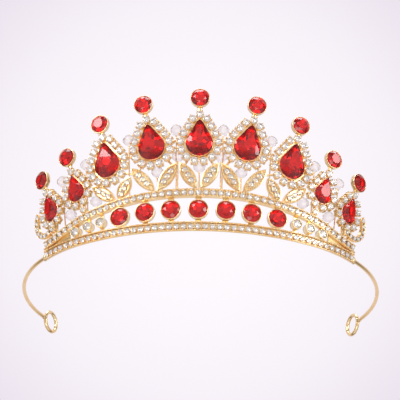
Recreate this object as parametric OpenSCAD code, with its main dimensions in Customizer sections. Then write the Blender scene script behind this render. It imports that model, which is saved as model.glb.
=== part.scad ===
// Tiara crown: two jewelled rails between red stones, nine pear drops, two wires
// Units are millimetres. Z is up and z = 0 is the level lower edge of the lower rail.
// The front of the crown faces -Y, and the crown is symmetric about X = 0.

/* [Crown shape] */
// Radius of the front of the head curve
front_radius = 92; // [84:1:98]
// Radius of the two sides of the head curve
side_radius = 56.6; // [52:0.2:62]
// Angle where the front curve hands over to the side curve
front_half_angle = 30; // [26:1:34]
// How far the face leans outwards from upright
flare = 9; // [4:0.5:14]
// Angle where both rails end on each side
rail_end_angle = 51; // [50:0.5:53]

/* [Rails] */
// Height of the lower rail
lower_rail_height = 4; // [3.6:0.1:4.2]
// Height of the upper rail
upper_rail_height = 3.5; // [3:0.1:3.6]
// Thickness of both rails
rail_thickness = 2.2; // [1.8:0.1:2.6]
// Height of the upper rail's centreline at the middle
upper_rail_middle = 16.3; // [16:0.1:16.8]
// Height of the upper rail's centreline at its ends
upper_rail_end = 6.4; // [6:0.1:6.6]
// Diameter of the clear stones along the rails
rail_stone = 2.3; // [2:0.1:2.5]
// Spacing of the clear stones along the rails
rail_pitch = 2.8; // [2.7:0.05:3.2]

/* [Stones between the rails] */
// Diameter of the seven red stones
red_stone = 7.2; // [6.6:0.1:7.4]
// Wall of each stone's bezel
bezel_wall = 0.6; // [0.4:0.05:0.65]
// Diameter of the six clear stones at the sides
side_stone = 3.4; // [3:0.1:3.6]
// Depth of the cups of the clear stones
side_cup_depth = 3.2; // [2.4:0.1:3.6]

/* [Drops] */
// Width of the five large pear stones
large_pear_width = 10.8; // [9.8:0.1:10.8]
// Height of the five large pear stones
large_pear_height = 15.6; // [14.6:0.1:15.6]
// Width of the four small pear stones
small_pear_width = 7.8; // [7:0.1:7.9]
// Height of the four small pear stones
small_pear_height = 12; // [11.2:0.1:12.2]
// Diameter of the clear stones round a large drop
large_halo_stone = 3; // [2.7:0.05:3.05]
// Diameter of the clear stones round a small drop
small_halo_stone = 2.8; // [2.5:0.05:2.85]
// Diameter of the round red stone on top of each drop
finial_stone = 7.2; // [6.4:0.1:7.4]

/* [Leaves] */
// Width of each leaf
leaf_width = 5.2; // [4.4:0.1:5.5]
// Thickness of each leaf
leaf_thickness = 1.6; // [1.2:0.1:2]

/* [Headband wires] */
// Diameter of each wire
wire = 1.6; // [1:0.1:1.7]
// Outer diameter of the loop at each wire's end
loop_outer = 10.4; // [9.6:0.1:11]
// Radius of the curve that each wire follows from the rail's end
wire_radius = 60; // [57:0.5:63]
// Direction that each wire has turned to where it meets its loop
wire_end_angle = 116; // [112:1:120]

/* [Hidden] */

$fn = 40;
gold = [0.90, 0.70, 0.36];
ruby = [0.72, 0.05, 0.09];
clear = [0.90, 0.92, 0.95];

// Half-way depth of the whole crown, which puts Y = 0 at the middle of its box
middle_depth = 43.58;
// Centre of the front curve
front_y = front_radius - middle_depth;
// Centre of the side curve: it meets the front curve with one shared tangent
side_x = (front_radius - side_radius) * sin(front_half_angle);
side_y = front_y - (front_radius - side_radius) * cos(front_half_angle);
front_arc = front_radius * front_half_angle * PI / 180;
rail_stones_each_side = 24;
upper_rail_shape = 1.26;
milgrain = 0.55;
channel = 0.35;
stone_height = 0.9;
skin = 0.01;

// Drop number 0 is the centre one, 1 to 4 count outwards on each side
drop_angle = [0, 11.5, 22.6, 32.3, 45.9];
drop_height = [39.9, 39, 34.3, 25.5, 21.6];
drop_lean = [0, 10, 9, 14, 17];
finial_distance = [17.4, 16.9, 16.4, 15.1, 14.6];
first_small_drop = 3;
large_halo_gap = 2.3;
small_halo_gap = 1.85;
large_halo_count = 15;
small_halo_count = 11;
cup_floor = 0.4;

// Red stones sit at these angles and heights, and the clear ones outside them
red_angle = [0, 6.6, 12.9, 19.3];
red_height = [9.2, 9.15, 8.9, 8.3];
clear_angle = [24.4, 28, 32.6];
clear_height = [7.6, 7.05, 6.28];
clear_wall = 0.45;

// The leaves zigzag from the upper rail to these tips
leaf_foot = [[0.45, 18.2], [9.9, 17.8], [10.6, 17.75], [19.9, 16.1], [20.6, 15.95]];
leaf_tip = [[4.7, 29.6], [5.05, 29.6], [16.4, 28.7], [16.6, 25.2], [26.7, 23.9]];
leaf_stone = 2.2;
leaf_stone_pitch = 2.6;

leaf_back = -1.2;

// Clear beads stand on wires behind the drops
bead_top = [[5.8, 45.7], [18, 43.4], [30.4, 37], [43.6, 33.8]];
bead_low = [[5.4, 34.2], [10.6, 28], [27.6, 19.8], [39.8, 17.6]];
bead_back = -5.2;
bead_width = 5;

// Half-turn pieces of the scroll, in its own flat plane
scroll_angle = 52;
scroll_height = 16.9;
scroll_radius = 6.6;
scroll_shift = -3.4;
scroll_start = 138;
scroll_turn = 156;
scroll_stone_step = 22.6;

loop_radius = (loop_outer - wire) / 2;
wire_start_height = 2;
wire_end_height = loop_outer / 2;
wire_turn = wire_end_angle - rail_end_angle;
wire_chord = 2 * wire_radius * sin(wire_turn / 2);
wire_rise = asin((wire_end_height - wire_start_height) / wire_chord);

function far(phi) = abs(phi) > front_half_angle;
function side_of(phi) = phi < 0 ? -1 : 1;
function base_radius(phi) = far(phi) ? side_radius : front_radius;
function centre_of(phi) = far(phi) ? [side_of(phi) * side_x, side_y] : [0, front_y];
function face_point(phi, h, out = 0) =
  let (r = base_radius(phi) + h * sin(flare) + out * cos(flare), c = centre_of(phi))
  [c[0] + r * sin(phi), c[1] - r * cos(phi), h * cos(flare) - out * sin(flare)];
function angle_at(s) =
  let (a = abs(s), past = a - front_arc)
  side_of(s) * (past <= 0 ? a / front_radius
    : front_half_angle * PI / 180 + past / side_radius) * 180 / PI;
function upper_at(phi) =
  let (x = min(1, abs(phi) / rail_end_angle))
  upper_rail_end + (upper_rail_middle - upper_rail_end)
    * (0.5 + 0.5 * cos(180 * pow(x, upper_rail_shape)));

// Puts a flat piece on the face: x along the crown, y up, z outwards
module on_face(phi, h, lean = 0, out = 0) {
  c = centre_of(phi);
  translate([c[0], c[1], 0]) rotate([0, 0, phi])
    translate([0, -base_radius(phi) - h * sin(flare), h * cos(flare)])
      rotate([90 + flare, 0, 0]) rotate([0, 0, -lean]) translate([0, 0, out])
        children();
}

module rod(a, b, d) {
  v = b - a;
  length = norm(v);
  translate(a) rotate([0, acos(v[2] / length), atan2(v[1], v[0])])
    cylinder(h = length, d = d, $fn = 16);
}

// A chain of rings joined into one closed solid
module sweep(rings) {
  n = len(rings[0]);
  m = len(rings);
  points = [for (r = rings) each r];
  sides = [for (i = [0 : m - 2], j = [0 : n - 1]) let (k = (j + 1) % n)
    each [[i * n + j, (i + 1) * n + j, (i + 1) * n + k],
      [i * n + j, (i + 1) * n + k, i * n + k]]];
  caps = [[for (j = [0 : n - 1]) j], [for (j = [0 : n - 1]) m * n - 1 - j]];
  polyhedron(points = points, faces = concat(sides, caps));
}

// Round brilliant: flat seat, girdle, sloping crown and a flat table
module round_stone(d, h) {
  rotate_extrude()
    polygon([[0, 0], [0.38 * d, 0], [d / 2, 0.35 * h], [d / 2, 0.5 * h],
      [0.3 * d, h], [0, h]]);
}

// ---- lower rail ----

function lower_rail_profile() =
  let (t = tan(flare), back = -rail_thickness / 2, face = rail_thickness / 2,
    top = lower_rail_height, m = milgrain)
  [[back, 0.9], [face - 0.4, 0], [face, 0], [face + m * t, m], [face + m * t - channel, m],
    [face + (top - m) * t - channel, top - m], [face + (top - m) * t, top - m],
    [face + top * t, top], [back + top * t, top]];

// The rail is three arcs that meet face to face, each cut from a full ring
module lower_rail_arc(centre, radius, from, to) {
  reach = 2 * radius;
  intersection() {
    translate(centre) rotate_extrude($fn = 120)
      polygon([for (p = lower_rail_profile()) [radius + p[0], p[1]]]);
    translate([centre[0], centre[1], -1]) linear_extrude(lower_rail_height + 2)
      polygon([[0, 0], [reach * sin(from), -reach * cos(from)],
        [reach * sin((from + to) / 2), -reach * cos((from + to) / 2)],
        [reach * sin(to), -reach * cos(to)]]);
  }
}

module lower_rail() color(gold) {
  lower_rail_arc([0, front_y, 0], front_radius, -front_half_angle, front_half_angle);
  lower_rail_arc([side_x, side_y, 0], side_radius, front_half_angle, rail_end_angle);
  lower_rail_arc([-side_x, side_y, 0], side_radius, -rail_end_angle, -front_half_angle);
}

module lower_rail_stones() color(clear)
  for (i = [-rail_stones_each_side : rail_stones_each_side])
    on_face(angle_at(i * rail_pitch), lower_rail_height / 2, 0,
      rail_thickness / 2 - channel + skin) round_stone(rail_stone, stone_height);

// ---- upper rail ----

function upper_rail_ring(phi) =
  let (back = -rail_thickness / 2, face = rail_thickness / 2, floor_ = face - channel,
    v = upper_rail_height / 2, w = v - milgrain, h = upper_at(phi))
  [for (p = [[back, -v], [face, -v], [face, -w], [floor_, -w], [floor_, w],
    [face, w], [face, v], [back, v]]) face_point(phi, h + p[1], p[0])];

module upper_rail() color(gold)
  sweep([for (i = [-26 : 26]) upper_rail_ring(rail_end_angle * i / 26)]);

module upper_rail_stones() color(clear)
  for (i = [-rail_stones_each_side : rail_stones_each_side]) {
    phi = angle_at(i * rail_pitch);
    on_face(phi, upper_at(phi), 0, rail_thickness / 2 - channel + 2 * skin)
      round_stone(rail_stone, stone_height);
  }

// Gold web that fills the narrow corner where the rails come together
function end_plate_ring(phi) =
  let (low = lower_rail_height / cos(flare) + 0.05,
    high = upper_at(phi) - upper_rail_height / 2 - 0.02)
  [face_point(phi, low, -0.9), face_point(phi, low, -0.1),
    face_point(phi, high, -0.1), face_point(phi, high, -0.9)];

module end_plate(side) color(gold)
  sweep(side > 0 ? [for (i = [0 : 6]) end_plate_ring(36.5 + i * 2.2)]
    : [for (i = [6 : -1 : 0]) end_plate_ring(-36.5 - i * 2.2)]);

module left_end_plate() end_plate(-1);
module right_end_plate() end_plate(1);

// ---- headband wires ----

// The wire is one round arc, tipped up so that its loop stands on the base plane
module headband_wire(side) color(gold) {
  start = [side_x + side_radius * sin(rail_end_angle),
    side_y - side_radius * cos(rail_end_angle), wire_start_height];
  mid = (rail_end_angle + wire_end_angle) / 2;
  // Centre of the wire's curve, in line with the rail's end
  centre = [start[0] - wire_radius * sin(rail_end_angle),
    start[1] + wire_radius * cos(rail_end_angle)];
  loop_at = [centre[0] + wire_radius * sin(wire_end_angle)
    + loop_radius * cos(wire_end_angle), centre[1] - wire_radius * cos(wire_end_angle)
    + loop_radius * sin(wire_end_angle), wire_end_height];
  mirror(side > 0 ? [0, 0, 0] : [1, 0, 0]) {
    translate(start) rotate([0, 0, mid]) rotate([0, -wire_rise, 0]) rotate([0, 0, -mid])
      translate([centre[0] - start[0], centre[1] - start[1], 0])
        rotate([0, 0, rail_end_angle - 90]) rotate_extrude(angle = wire_turn, $fn = 120)
          translate([wire_radius, 0]) circle(d = wire, $fn = 24);
    translate(loop_at) rotate([0, 0, wire_end_angle]) rotate([90, 0, 0])
      rotate_extrude($fn = 48) translate([loop_radius, 0]) circle(d = wire, $fn = 24);
  }
}

module left_headband_wire() headband_wire(-1);
module right_headband_wire() headband_wire(1);

// Small solder pad that joins each wire to the end of the lower rail
module wire_tab(side) color(gold)
  on_face(side * (rail_end_angle + 0.95), wire_start_height, 0, -0.1)
    difference() {
      translate([-0.9, -1.6, -0.9]) cube([1.8, 3.2, 1.9]);
      rotate([0, 90, 0]) cylinder(d = wire + 0.04, h = 6, center = true, $fn = 24);
    }

module left_wire_tab() wire_tab(-1);
module right_wire_tab() wire_tab(1);

// ---- stones between the rails ----

module bezel(stone, wall, depth) {
  difference() {
    cylinder(h = depth, d = stone + 2 * wall);
    translate([0, 0, cup_floor]) cylinder(h = depth, d = stone + 2 * skin);
  }
}

// A short bar behind each bezel reaches both rails
module rail_bar(phi, width) {
  low = lower_rail_height / cos(flare);
  high = upper_at(phi) - upper_rail_height / 2;
  on_face(phi, low, 0, -0.95) translate([-width / 2, 0.03, 0])
    cube([width, high - low - 0.06, 0.6]);
}

module gallery_bezels() color(gold)
  for (i = [-3 : 3]) {
    phi = side_of(i) * red_angle[abs(i)];
    on_face(phi, red_height[abs(i)], 0, -0.5) bezel(red_stone, bezel_wall, 2);
    rail_bar(phi, 2.4);
  }

module gallery_red_stones() color(ruby)
  for (i = [-3 : 3])
    on_face(side_of(i) * red_angle[abs(i)], red_height[abs(i)], 0,
      -0.5 + cup_floor + skin) round_stone(red_stone, 2.6);

module side_bezels() color(gold)
  for (side = [-1, 1], i = [0 : 2]) {
    on_face(side * clear_angle[i], clear_height[i], 0, -1.4)
      bezel(side_stone, clear_wall, side_cup_depth);
    rail_bar(side * clear_angle[i], 1.8);
  }

module side_clear_stones() color(clear)
  for (side = [-1, 1], i = [0 : 2])
    on_face(side * clear_angle[i], clear_height[i], 0,
      side_cup_depth - 1.4 - 1.2) round_stone(side_stone, 1.6);

// ---- leaves ----

// A leaf is where two equal circles overlap, so both ends are pointed
module leaf_outline(length, width) {
  r = (length * length + width * width) / (4 * width);
  intersection() {
    translate([r - width / 2, 0]) circle(r = r, $fn = 90);
    translate([width / 2 - r, 0]) circle(r = r, $fn = 90);
  }
}

function leaf_pose(i) =
  let (a = leaf_foot[i], b = leaf_tip[i], mid = (a + b) / 2,
    along = (b[0] - a[0]) * PI / 180 * (front_radius + mid[1] * sin(flare)),
    up = b[1] - a[1])
  [mid[0], mid[1], atan2(along, up), norm([along, up])];

module leaf_frames() color(gold)
  for (side = [-1, 1], i = [0 : 4]) {
    p = leaf_pose(i);
    on_face(side * p[0], p[1], side * p[2], leaf_back) difference() {
      linear_extrude(leaf_thickness) leaf_outline(p[3], leaf_width);
      translate([0, 0, leaf_thickness - 0.5])
        linear_extrude(2) leaf_outline(p[3] - 2.2, leaf_width - 1);
    }
  }

module leaf_stones() color(clear)
  for (side = [-1, 1], i = [0 : 4], k = [-1 : 1]) {
    p = leaf_pose(i);
    on_face(side * p[0], p[1], side * p[2], leaf_back)
      translate([0, k * leaf_stone_pitch, leaf_thickness - 0.5 + skin])
        round_stone(leaf_stone, 0.9);
  }

// ---- scrolls ----

module in_scroll(side) {
  on_face(side * scroll_angle, scroll_height, 0, -0.3)
    translate([side * scroll_shift, 0, 0]) mirror([side > 0 ? 1 : 0, 0, 0])
      children();
}

module scroll(side) color(gold) in_scroll(side)
  rotate([0, 0, scroll_start]) rotate_extrude(angle = scroll_turn, $fn = 90)
    translate([scroll_radius, 0]) polygon([[-1.2, 0], [1.2, 0], [1.2, 1.5],
      [0.95, 1.5], [0.95, 1.15], [-0.95, 1.15], [-0.95, 1.5], [-1.2, 1.5]]);

module left_scroll() scroll(-1);
module right_scroll() scroll(1);

module scroll_stones() color(clear)
  for (side = [-1, 1], i = [0 : 6]) in_scroll(side)
    rotate([0, 0, scroll_start + 10 + i * scroll_stone_step])
      translate([scroll_radius, 0, 1.15 + skin]) round_stone(1.85, 0.85);

// ---- drops ----

function is_small(i) = i >= first_small_drop;
function pear_width(i) = is_small(i) ? small_pear_width : large_pear_width;
function pear_height(i) = is_small(i) ? small_pear_height : large_pear_height;
function halo_gap(i) = is_small(i) ? small_halo_gap : large_halo_gap;
function halo_count(i) = is_small(i) ? small_halo_count : large_halo_count;
function halo_stone(i) = is_small(i) ? small_halo_stone : large_halo_stone;
// A pear is a large circle at the foot, a small one at the tip and their tangents
function foot_radius(i) = pear_width(i) / 2;
function tip_radius(i) = 0.09 * pear_width(i);
function foot_y(i) = foot_radius(i) - pear_height(i) / 2;
function tip_y(i) = pear_height(i) / 2 - tip_radius(i);
function tangent_angle(i) =
  asin((foot_radius(i) - tip_radius(i)) / (tip_y(i) - foot_y(i)));
function straight(i) = (tip_y(i) - foot_y(i)) * cos(tangent_angle(i));
function tip_arc(i, gap) = (tip_radius(i) + gap) * (90 - tangent_angle(i)) * PI / 180;
function half_way_round(i, gap) = tip_arc(i, gap) + straight(i)
  + (foot_radius(i) + gap) * (90 + tangent_angle(i)) * PI / 180;
// Point and outward angle at distance s along the right side, counted from the top
function half_point(i, gap, s) =
  let (b = tangent_angle(i), s1 = tip_arc(i, gap), s2 = s1 + straight(i),
    tip = tip_radius(i) + gap, foot = foot_radius(i) + gap)
  s < s1 ? let (a = s / tip * 180 / PI) [tip * sin(a), tip_y(i) + tip * cos(a), 90 - a]
  : s < s2 ? [tip * cos(b) + (s - s1) * sin(b),
      tip_y(i) + tip * sin(b) - (s - s1) * cos(b), b]
  : let (a = 90 - b + (s - s2) / foot * 180 / PI)
      [foot * sin(a), foot_y(i) + foot * cos(a), 90 - a];
function round_point(i, gap, s) =
  let (half = half_way_round(i, gap), p = half_point(i, gap, min(s, 2 * half - s)))
  s <= half ? p : [-p[0], p[1], 180 - p[2]];
function halo_point(i, k) =
  round_point(i, halo_gap(i), k * 2 * half_way_round(i, halo_gap(i)) / halo_count(i));

module pear_outline(i, gap) {
  b = tangent_angle(i);
  foot = foot_radius(i) + gap;
  tip = tip_radius(i) + gap;
  translate([0, foot_y(i)]) circle(r = foot, $fn = 60);
  translate([0, tip_y(i)]) circle(r = tip, $fn = 30);
  // the sides lie a hair inside the two round ends, so each side crosses them cleanly
  x = [(foot - 0.01) * cos(b), (tip - 0.01) * cos(b)];
  y = [foot_y(i) + (foot - 0.01) * sin(b), tip_y(i) + (tip - 0.01) * sin(b)];
  polygon([[x[0], y[0]], [x[1], y[1]], [-x[1], y[1]], [-x[0], y[0]]]);
}

module on_drop(side, i)
  on_face(side * drop_angle[i], drop_height[i], side * drop_lean[i]) children();

function seat_radius(i) = halo_stone(i) / 2 + 0.12;

// One casting: narrow ring, pear bezel, seats and claws for the halo, neck and top cup
module drop_frame(side, i) color(gold) on_drop(side, i) {
  claw_at = halo_stone(i) / 2 + 0.3;
  neck_from = tip_y(i) + tip_radius(i) + halo_gap(i);
  neck_to = finial_distance[i] - finial_stone / 2;
  difference() {
    union() {
      translate([0, 0, -1.2]) linear_extrude(0.6) difference() {
        pear_outline(i, halo_gap(i) - seat_radius(i) + 0.6);
        pear_outline(i, -0.3);
      }
      translate([0, 0, -0.8]) linear_extrude(1.7) pear_outline(i, 0.3);
    }
    translate([0, 0, -0.85]) linear_extrude(3) pear_outline(i, 0.02);
  }
  for (k = [0 : halo_count(i) - 1]) {
    p = halo_point(i, k);
    translate([p[0], p[1], -1.2]) cylinder(h = 1.8, r = seat_radius(i), $fn = 24);
    for (turn = [-35, 35])
      translate([p[0] + claw_at * cos(p[2] + turn), p[1] + claw_at * sin(p[2] + turn),
        -1.1]) cylinder(h = 2.3, d = 0.56, $fn = 16);
  }
  translate([-1, neck_from, -1.1]) cube([2, neck_to - neck_from, 1.3]);
  translate([0, finial_distance[i], -1.2]) difference() {
    cylinder(h = 2.3, d = finial_stone + 1);
    translate([0, 0, 0.5]) cylinder(h = 3, d = finial_stone + 2 * skin);
  }
}

module centre_drop_frame() drop_frame(1, 0);
module left_drop_1_frame() drop_frame(-1, 1);
module left_drop_2_frame() drop_frame(-1, 2);
module left_drop_3_frame() drop_frame(-1, 3);
module left_drop_4_frame() drop_frame(-1, 4);
module right_drop_1_frame() drop_frame(1, 1);
module right_drop_2_frame() drop_frame(1, 2);
module right_drop_3_frame() drop_frame(1, 3);
module right_drop_4_frame() drop_frame(1, 4);

// Faceted pear: narrow seat, girdle, crown in two steps and a flat table
module pear_stone(side, i) color(ruby) on_drop(side, i) {
  half = half_way_round(i, 0);
  turn = [for (k = [0 : 19]) round_point(i, 0, k * half / 10)];
  step = [[0.4, -0.8], [0.99, 0.4], [0.99, 0.65], [0.8, 1.5], [0.55, 2.1]];
  sweep([for (s = step) [for (p = turn) [p[0] * s[0], p[1] * s[0], s[1]]]]);
}

module centre_pear_stone() pear_stone(1, 0);
module left_pear_stone_1() pear_stone(-1, 1);
module left_pear_stone_2() pear_stone(-1, 2);
module left_pear_stone_3() pear_stone(-1, 3);
module left_pear_stone_4() pear_stone(-1, 4);
module right_pear_stone_1() pear_stone(1, 1);
module right_pear_stone_2() pear_stone(1, 2);
module right_pear_stone_3() pear_stone(1, 3);
module right_pear_stone_4() pear_stone(1, 4);

module halo_stones(side, i) color(clear) on_drop(side, i)
  for (k = [0 : halo_count(i) - 1]) {
    p = halo_point(i, k);
    translate([p[0], p[1], 0.6 + skin]) round_stone(halo_stone(i), 1.3);
  }

module centre_halo_stones() halo_stones(1, 0);
module left_halo_stones_1() halo_stones(-1, 1);
module left_halo_stones_2() halo_stones(-1, 2);
module left_halo_stones_3() halo_stones(-1, 3);
module left_halo_stones_4() halo_stones(-1, 4);
module right_halo_stones_1() halo_stones(1, 1);
module right_halo_stones_2() halo_stones(1, 2);
module right_halo_stones_3() halo_stones(1, 3);
module right_halo_stones_4() halo_stones(1, 4);

module finial(side, i) color(ruby) on_drop(side, i)
  translate([0, finial_distance[i], -0.7 + skin]) round_stone(finial_stone, 2.9);

module centre_finial_stone() finial(1, 0);
module left_finial_stone_1() finial(-1, 1);
module left_finial_stone_2() finial(-1, 2);
module left_finial_stone_3() finial(-1, 3);
module left_finial_stone_4() finial(-1, 4);
module right_finial_stone_1() finial(1, 1);
module right_finial_stone_2() finial(1, 2);
module right_finial_stone_3() finial(1, 3);
module right_finial_stone_4() finial(1, 4);

// ---- joining pieces ----

// Struts from the leaves and the upper rail to the drops, all behind the plates
module link_bars() color(gold) {
  back = -1.7;
  for (side = [-1, 1]) {
    // from leaf tips up to the drops, then from each drop to the next
    for (p = [[4.1, 27.2, 2.6, 31.4], [5.7, 27.2, 7.7, 31.8], [15, 26.8, 13.6, 31],
      [16.3, 26.8, 18.8, 27.8], [25.3, 21.8, 24.5, 26], [4.7, 36.2, 6.8, 36.6],
      [4.7, 39.4, 6.9, 39.6], [15.8, 35, 17.8, 33.6], [27, 29.6, 28.6, 26.8],
      [37.2, 22.4, 40, 21.4]])
      rod(face_point(side * p[0], p[1], back), face_point(side * p[2], p[3], back), 1);
    // from the upper rail past each post to the small drops, and up to the scroll
    for (p = [[29.8, 29.9, 18.6], [45.2, 44.6, 15]])
      rod(face_point(side * p[0], upper_at(p[0]), back),
        face_point(side * p[1], p[2], back), 1.2);
    rod(face_point(side * 47, 7, back), face_point(side * 47.6, 10.5, -0.85), 1);
    for (p = post) on_face(side * p[0], p[1], 0, -1.2) cylinder(h = 1.5, d = 3, $fn = 24);
  }
}

// Single clear stone on the post under each small drop
post = [[29.5, 15.2], [45.8, 11.8]];

module small_post_stones() color(clear)
  for (side = [-1, 1], p = post) on_face(side * p[0], p[1], 0, 0.3 + skin)
    round_stone(2.4, 1.1);

// ---- beads behind ----

function bead_sprigs() = concat([[0, 29.5]], [for (side = [-1, 1], b = concat(bead_top,
  bead_low)) [side * b[0], b[1]]]);

module rear_bead_wires() color(gold)
  for (b = bead_sprigs()) {
    foot = face_point(b[0], upper_at(b[0]), -rail_thickness / 2 - 0.05);
    elbow = face_point(b[0], upper_at(b[0]) + 1.5, bead_back);
    top = face_point(b[0], b[1] - bead_width / 2 - 0.02, bead_back);
    rod(foot, elbow, 0.7);
    translate(elbow) sphere(d = 1, $fn = 16);
    rod(elbow, top, 0.7);
  }

module rear_beads() color(clear)
  for (b = bead_sprigs()) on_face(b[0], b[1], 0, bead_back) rotate([90, 0, 0])
    rotate_extrude($fn = 16) polygon([[0, -bead_width / 2], [0.7, -bead_width / 2],
      [bead_width / 2, -0.8], [bead_width / 2, 0.8], [0.7, bead_width / 2],
      [0, bead_width / 2]]);

lower_rail();
upper_rail();
left_end_plate();
right_end_plate();
lower_rail_stones();
upper_rail_stones();
left_headband_wire();
right_headband_wire();
left_wire_tab();
right_wire_tab();
gallery_bezels();
gallery_red_stones();
side_bezels();
side_clear_stones();
leaf_frames();
leaf_stones();
left_scroll();
right_scroll();
scroll_stones();
centre_drop_frame();
left_drop_1_frame();
left_drop_2_frame();
left_drop_3_frame();
left_drop_4_frame();
right_drop_1_frame();
right_drop_2_frame();
right_drop_3_frame();
right_drop_4_frame();
centre_pear_stone();
left_pear_stone_1();
left_pear_stone_2();
left_pear_stone_3();
left_pear_stone_4();
right_pear_stone_1();
right_pear_stone_2();
right_pear_stone_3();
right_pear_stone_4();
centre_halo_stones();
left_halo_stones_1();
left_halo_stones_2();
left_halo_stones_3();
left_halo_stones_4();
right_halo_stones_1();
right_halo_stones_2();
right_halo_stones_3();
right_halo_stones_4();
centre_finial_stone();
left_finial_stone_1();
left_finial_stone_2();
left_finial_stone_3();
left_finial_stone_4();
right_finial_stone_1();
right_finial_stone_2();
right_finial_stone_3();
right_finial_stone_4();
link_bars();
small_post_stones();
rear_bead_wires();
rear_beads();
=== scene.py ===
import math

import bmesh
import bpy
import numpy as np
from mathutils import Matrix, Vector


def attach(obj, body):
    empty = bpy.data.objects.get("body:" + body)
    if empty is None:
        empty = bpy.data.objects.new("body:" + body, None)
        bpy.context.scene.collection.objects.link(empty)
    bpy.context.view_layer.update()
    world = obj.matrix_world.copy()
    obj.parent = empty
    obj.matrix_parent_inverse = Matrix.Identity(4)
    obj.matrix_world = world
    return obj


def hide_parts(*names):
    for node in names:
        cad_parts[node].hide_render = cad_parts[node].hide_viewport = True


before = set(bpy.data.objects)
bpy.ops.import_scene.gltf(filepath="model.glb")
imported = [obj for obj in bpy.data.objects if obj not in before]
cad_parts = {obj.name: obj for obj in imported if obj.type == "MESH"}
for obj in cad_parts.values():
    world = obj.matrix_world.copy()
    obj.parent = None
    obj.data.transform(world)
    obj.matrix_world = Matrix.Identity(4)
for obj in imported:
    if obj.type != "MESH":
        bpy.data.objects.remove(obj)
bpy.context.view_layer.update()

# ---------------------------------------------------------------- dimensions
# Millimetres until a mesh is made. They repeat the driving sizes of the CAD part.
MM = 0.001
SIDES = ((-1, "left"), (1, "right"))
FRONT_R, SIDE_R, SPLIT, FLARE, RAIL_END = 92.0, 56.6, 30.0, 9.0, 51.0
MIDDLE_DEPTH = 43.58
FRONT_Y = FRONT_R - MIDDLE_DEPTH
SIDE_X = (FRONT_R - SIDE_R) * math.sin(math.radians(SPLIT))
SIDE_Y = FRONT_Y - (FRONT_R - SIDE_R) * math.cos(math.radians(SPLIT))
LOWER_H, UPPER_H, RAIL_T = 4.0, 3.5, 2.2
UPPER_LOW, UPPER_HIGH, ARCH_POWER = 6.4, 16.3, 1.26
RAIL_PITCH, RAIL_COUNT, RAIL_STONE = 2.8, 24, 2.3
DROP_ANGLE = [0, 11.5, 22.6, 32.3, 45.9]
DROP_HEIGHT = [39.9, 39, 34.3, 25.5, 21.6]
DROP_LEAN = [0, 10, 9, 14, 17]
FINIAL_AT = [17.4, 16.9, 16.4, 15.1, 14.6]
RED_ANGLE = [0, 6.6, 12.9, 19.3]
RED_HEIGHT = [9.2, 9.15, 8.9, 8.3]
CLEAR_ANGLE = [24.4, 28, 32.6]
CLEAR_HEIGHT = [7.6, 7.05, 6.28]
LEAF_FOOT = [(0.45, 18.2), (9.9, 17.8), (10.6, 17.75), (19.9, 16.1), (20.6, 15.95)]
LEAF_TIP = [(4.7, 29.6), (5.05, 29.6), (16.4, 28.7), (16.6, 25.2), (26.7, 23.9)]
LEAF_BACK, LEAF_W, LEAF_STEP = -1.2, 5.2, 2.6
BEAD_TOP = [(5.8, 45.7), (18, 43.4), (30.4, 37), (43.6, 33.8)]
BEAD_LOW = [(5.4, 34.2), (10.6, 28), (27.6, 19.8), (39.8, 17.6)]
BEAD_BACK, BEAD_R = -5.2, 2.5
POSTS = [(29.5, 15.2), (45.8, 11.8)]
WIRE_D, LOOP_OUTER, WIRE_END, WIRE_R = 1.6, 10.4, 116.0, 60.0
WIRE_START_H = 2.0
WIRE_INSET = 0.012      # keeps the wire inside the flats of the CAD wire
SCROLL = dict(angle=52, height=16.9, radius=6.6, shift=-3.4, start=138, turn=156,
              stones=7, pitch=22.6)


def sin(a):
    return math.sin(math.radians(a))


def cos(a):
    return math.cos(math.radians(a))


def sgn(a):
    return -1 if a < 0 else 1


def curve_at(phi):
    """Radius and centre of the head curve at an angle from the middle."""
    if abs(phi) > SPLIT:
        return SIDE_R, sgn(phi) * SIDE_X, SIDE_Y
    return FRONT_R, 0.0, FRONT_Y


def face_point(phi, h, out=0.0):
    """A point on the leaning face: h up its slope, and out from it."""
    r, cx, cy = curve_at(phi)
    r += h * sin(FLARE) + out * cos(FLARE)
    return np.array([cx + r * sin(phi), cy - r * cos(phi), h * cos(FLARE) - out * sin(FLARE)])


def lower_point(phi, n, z):
    """The lower rail's edges are level, so its section is measured along Z."""
    r, cx, cy = curve_at(phi)
    r += n + z * math.tan(math.radians(FLARE))
    return np.array([cx + r * sin(phi), cy - r * cos(phi), z])


def frame_at(phi, h, out=0.0, turn=0.0):
    """A flat frame on the face: x along the crown, y up the face, z outwards."""
    m = np.eye(4)
    x = np.array([cos(phi), sin(phi), 0])
    y = np.array([sin(phi) * sin(FLARE), -cos(phi) * sin(FLARE), cos(FLARE)])
    m[:3, 0] = x * cos(turn) - y * sin(turn)
    m[:3, 1] = x * sin(turn) + y * cos(turn)
    m[:3, 2] = np.cross(x, y)
    m[:3, 3] = face_point(phi, h, out)
    return m


def placed(m, x, y, z):
    """A point given in a flat frame, in the axes of the crown."""
    return m[:3, :3] @ np.array([x, y, z]) + m[:3, 3]


def shifted(m, x, y, z):
    """The same flat frame with its origin moved."""
    moved = m.copy()
    moved[:3, 3] = placed(m, x, y, z)
    return moved


def angle_at(s):
    """Angle from the middle at a distance s along the head curve."""
    past = abs(s) - FRONT_R * math.radians(SPLIT)
    a = math.degrees(abs(s) / FRONT_R) if past <= 0 else SPLIT + math.degrees(past / SIDE_R)
    return sgn(s) * a


def upper_at(phi):
    """Height of the middle of the upper rail."""
    x = min(1, abs(phi) / RAIL_END)
    return UPPER_LOW + (UPPER_HIGH - UPPER_LOW) * (0.5 + 0.5 * cos(180 * x ** ARCH_POWER))


# ---------------------------------------------------------------- mesh tools
END_REACH, END_TAPER = 0.6, 0.55    # blunt end of a bar, as shares of its radius


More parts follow.
